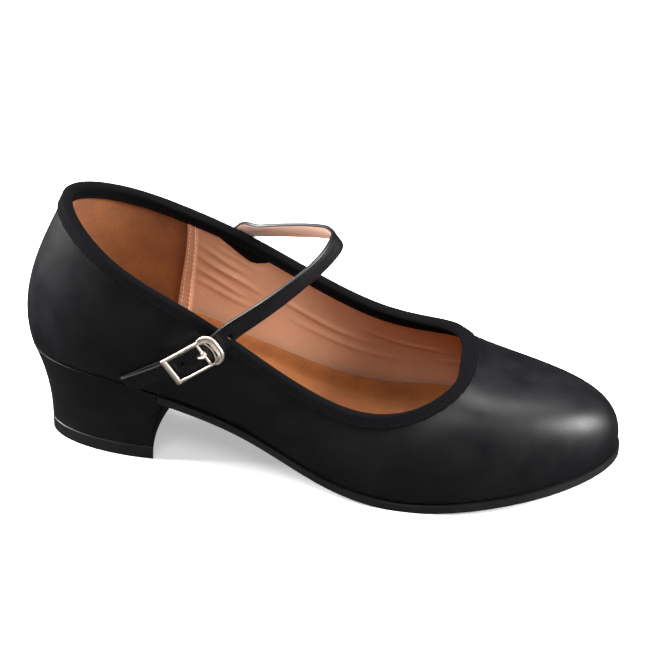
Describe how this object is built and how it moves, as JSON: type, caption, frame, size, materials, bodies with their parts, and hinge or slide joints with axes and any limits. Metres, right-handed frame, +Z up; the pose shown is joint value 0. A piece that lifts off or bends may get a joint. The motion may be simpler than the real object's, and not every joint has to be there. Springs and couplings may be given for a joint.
{
  "type": "tap shoe",
  "caption": "Black leather strap shoe for tap and character dance: round toe, covered block heel, one instep strap with a small buckle, leather and suede lining.",
  "frame": {"origin": "middle of the heel top piece's ground face", "axes": "+X towards the toe, +Y towards the inner (medial) side of this right shoe, +Z up"},
  "size_m": [0.2483, 0.0827, 0.1134],
  "materials": {
    "black_leather": "smooth black leather, satin",
    "pink_leather": "soft pink-beige lining leather, matte",
    "tan_suede": "tan suede, brushed",
    "binding_tape": "black ribbed tape",
    "black_rubber": "black resin rubber, matte",
    "heel_plastic": "moulded ABS, hidden",
    "stiffener_board": "pressed cellulose board",
    "foam": "latex foam",
    "steel": "bare steel",
    "nickel": "nickel plate, warm"
  },
  "bodies": {
    "root": {"upper": "black_leather", "heel_cover": "black_leather", "heel_breast_cover": "black_leather", "strap_root": "black_leather", "strap_patch": "black_leather", "chape_strap": "black_leather", "vamp_lining": "pink_leather", "heel_grip_lining": "tan_suede", "sock_lining": "tan_suede", "topline_binding": "binding_tape", "chape_elastic": "binding_tape", "outsole": "black_rubber", "heel_top_piece": "black_rubber", "heel_block": "heel_plastic", "insole_board": "stiffener_board", "heel_counter": "stiffener_board", "toe_puff": "stiffener_board", "bottom_filler": "stiffener_board", "heel_pad": "foam", "shank": "steel", "heel_screw": "steel", "heel_nail_1": "steel", "heel_nail_2": "steel", "heel_nail_3": "steel", "heel_nail_4": "steel", "top_piece_pin_1": "steel", "top_piece_pin_2": "steel"},
    "strap": {"strap_outer": "black_leather", "strap_lining": "pink_leather", "buckle_frame": "nickel", "buckle_cross_bar": "nickel"},
    "prong": {"buckle_prong": "nickel"}
  },
  "joints": [
    {"name": "strap_swing", "type": "hinge", "parent": "root", "child": "strap", "pos_m": [0.05323, 0.03364, 0.08239], "axis": [-0.7178, -0.0986, 0.6893], "range_deg": [0, 120], "deforming": ["chape_elastic"]},
    {"name": "prong_lift", "type": "hinge", "parent": "strap", "child": "prong", "pos_m": [0.04915, -0.03823, 0.06547], "axis": [-0.6007, 0.0601, 0.7972], "range_deg": [0, 100]}
  ]
}
